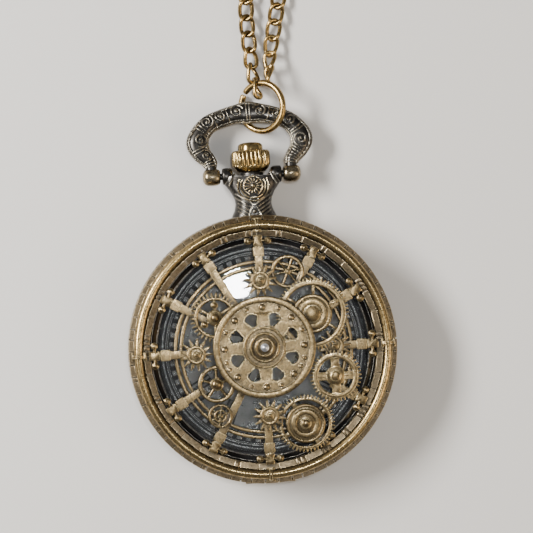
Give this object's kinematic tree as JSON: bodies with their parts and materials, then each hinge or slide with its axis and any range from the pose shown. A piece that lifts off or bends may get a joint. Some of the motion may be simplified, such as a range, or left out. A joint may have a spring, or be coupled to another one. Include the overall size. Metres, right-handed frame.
{
  "type": "pocket watch",
  "caption": "Pocket watch with a hinged openwork front cover of gear wheels, a press crown, a swinging bow, a jump ring and a long curb chain.",
  "frame": {"origin": "centre of the flat back that the watch rests on, on the axis of the case", "axes": "+Z out of the front cover, +Y towards the pendant, crown and chain, +X to the right as the dial is read"},
  "size_m": [0.0496, 0.1373, 0.0146],
  "materials": {
    "case_brass": "antique patina, satin",
    "cover_brass": "antique patina, satin with dark recesses",
    "wheel_brass": "antique patina, worn bright edges",
    "rivet_metal": "worn bright",
    "gunmetal": "blackened plating, brass highlights",
    "gold_metal": "polished gold colour",
    "chain_metal": "polished gold colour, slightly worn",
    "steel": "satin",
    "movement_brass": "satin",
    "board": "matte",
    "winding": "lacquered wire",
    "gasket": "matte",
    "glass": "polished",
    "dial_silver": "satin silver with printed tracks",
    "movement_plastic": "matte",
    "hand_black": "satin black"
  },
  "bodies": {
    "case": {"case_middle": "case_brass", "back_cover": "case_brass", "pendant": "gunmetal", "pendant_nut": "steel", "crystal_bezel": "case_brass", "crystal_gasket": "gasket", "crystal": "glass", "dial": "dial_silver", "movement_ring": "movement_plastic", "main_plate": "movement_brass", "train_bridge": "movement_brass", "circuit_board": "board", "coil_winding": "winding", "stator": "steel", "quartz_can": "steel", "battery": "steel", "battery_clip": "steel", "movement_screws": "steel", "hinge_pin": "steel", "return_spring": "steel"},
    "press_sleeve_body": {"press_sleeve": "steel", "latch_catch": "steel"},
    "crown_pull_body": {"crown_gasket": "gasket"},
    "crown_body": {"crown": "gold_metal", "stem": "steel", "sliding_pinion": "steel"},
    "rotor_body": {"rotor": "steel"},
    "intermediate_body": {"intermediate_wheel": "movement_brass"},
    "seconds_body": {"seconds_wheel": "movement_brass", "seconds_hand": "hand_black"},
    "third_body": {"third_wheel": "movement_brass"},
    "centre_body": {"centre_wheel": "movement_brass", "minute_hand": "hand_black"},
    "minute_wheel_body": {"minute_wheel": "movement_brass"},
    "hour_body": {"hour_wheel": "movement_brass", "hour_hand": "hand_black"},
    "cover_body": {"cover_rim": "cover_brass", "cover_lattice": "cover_brass", "rim_clips": "cover_brass", "central_wheel": "wheel_brass", "central_hub": "rivet_metal", "wheel_rivets": "rivet_metal", "star_pinion_12": "wheel_brass", "star_pinion_3": "wheel_brass", "star_pinion_6": "wheel_brass", "star_pinion_9": "wheel_brass", "six_spoke_wheel": "wheel_brass", "large_gear": "wheel_brass", "four_spoke_gear": "wheel_brass", "stepped_gear": "wheel_brass", "small_wheel": "wheel_brass", "five_spoke_wheel": "wheel_brass", "balanced_gear": "wheel_brass"},
    "bow_body": {"bow": "gunmetal", "bow_screws": "steel"},
    "chain_body": {"jump_ring": "gold_metal", "chain_left": "chain_metal", "chain_right": "chain_metal", "chain_coil": "chain_metal"}
  },
  "joints": [
    {"name": "cover_open", "type": "hinge", "parent": "case", "child": "cover_body", "pos_m": [0, -0.023, 0.00785], "axis": [1, 0, 0], "range_deg": [0, 100]},
    {"name": "crown_press", "type": "slide", "parent": "case", "child": "press_sleeve_body", "axis": [0, 1, 0], "range_m": [-0.0006, 0], "stiffness_N_per_m": 600},
    {"name": "crown_pull", "type": "slide", "parent": "press_sleeve_body", "child": "crown_pull_body", "axis": [0, 1, 0], "range_m": [0, 0.0007]},
    {"name": "crown_turn", "type": "hinge", "parent": "crown_pull_body", "child": "crown_body", "pos_m": [0, 0.032, 0.0044], "axis": [0, 1, 0], "continuous": true},
    {"name": "seconds_turn", "type": "hinge", "parent": "case", "child": "seconds_body", "pos_m": [0, 0, 0.003], "axis": [0, 0, 1], "continuous": true},
    {"name": "rotor_turn", "type": "hinge", "parent": "case", "child": "rotor_body", "pos_m": [0.00478, -0.00235, 0.003], "axis": [0, 0, 1], "continuous": true},
    {"name": "intermediate_turn", "type": "hinge", "parent": "case", "child": "intermediate_body", "pos_m": [0.00227, -0.00191, 0.003], "axis": [0, 0, 1], "continuous": true},
    {"name": "third_turn", "type": "hinge", "parent": "case", "child": "third_body", "pos_m": [-0.00287, -0.00105, 0.0032], "axis": [0, 0, 1], "continuous": true},
    {"name": "centre_turn", "type": "hinge", "parent": "case", "child": "centre_body", "pos_m": [0, 0, 0.004], "axis": [0, 0, 1], "continuous": true},
    {"name": "minute_wheel_turn", "type": "hinge", "parent": "case", "child": "minute_wheel_body", "pos_m": [0.00066, 0.00246, 0.0052], "axis": [0, 0, 1], "continuous": true},
    {"name": "hour_turn", "type": "hinge", "parent": "case", "child": "hour_body", "pos_m": [0, 0, 0.0056], "axis": [0, 0, 1], "continuous": true},
    {"name": "bow_swing", "type": "hinge", "parent": "case", "child": "bow_body", "pos_m": [0, 0.0309, 0.0044], "axis": [1, 0, 0], "range_deg": [-81.5, 98.5]},
    {"name": "chain_swing", "type": "hinge", "parent": "bow_body", "child": "chain_body", "pos_m": [0, 0.042, 0.0032], "axis": [1, 0, 0], "range_deg": [-55, 8]}
  ],
  "couplings": [
    {"joint": "intermediate_turn", "follows": "seconds_turn", "ratio": -6},
    {"joint": "rotor_turn", "follows": "seconds_turn", "ratio": 30},
    {"joint": "third_turn", "follows": "seconds_turn", "ratio": -0.13333},
    {"joint": "centre_turn", "follows": "seconds_turn", "ratio": 0.016667},
    {"joint": "minute_wheel_turn", "follows": "seconds_turn", "ratio": -0.0055556},
    {"joint": "hour_turn", "follows": "seconds_turn", "ratio": 0.0013889}
  ]
}
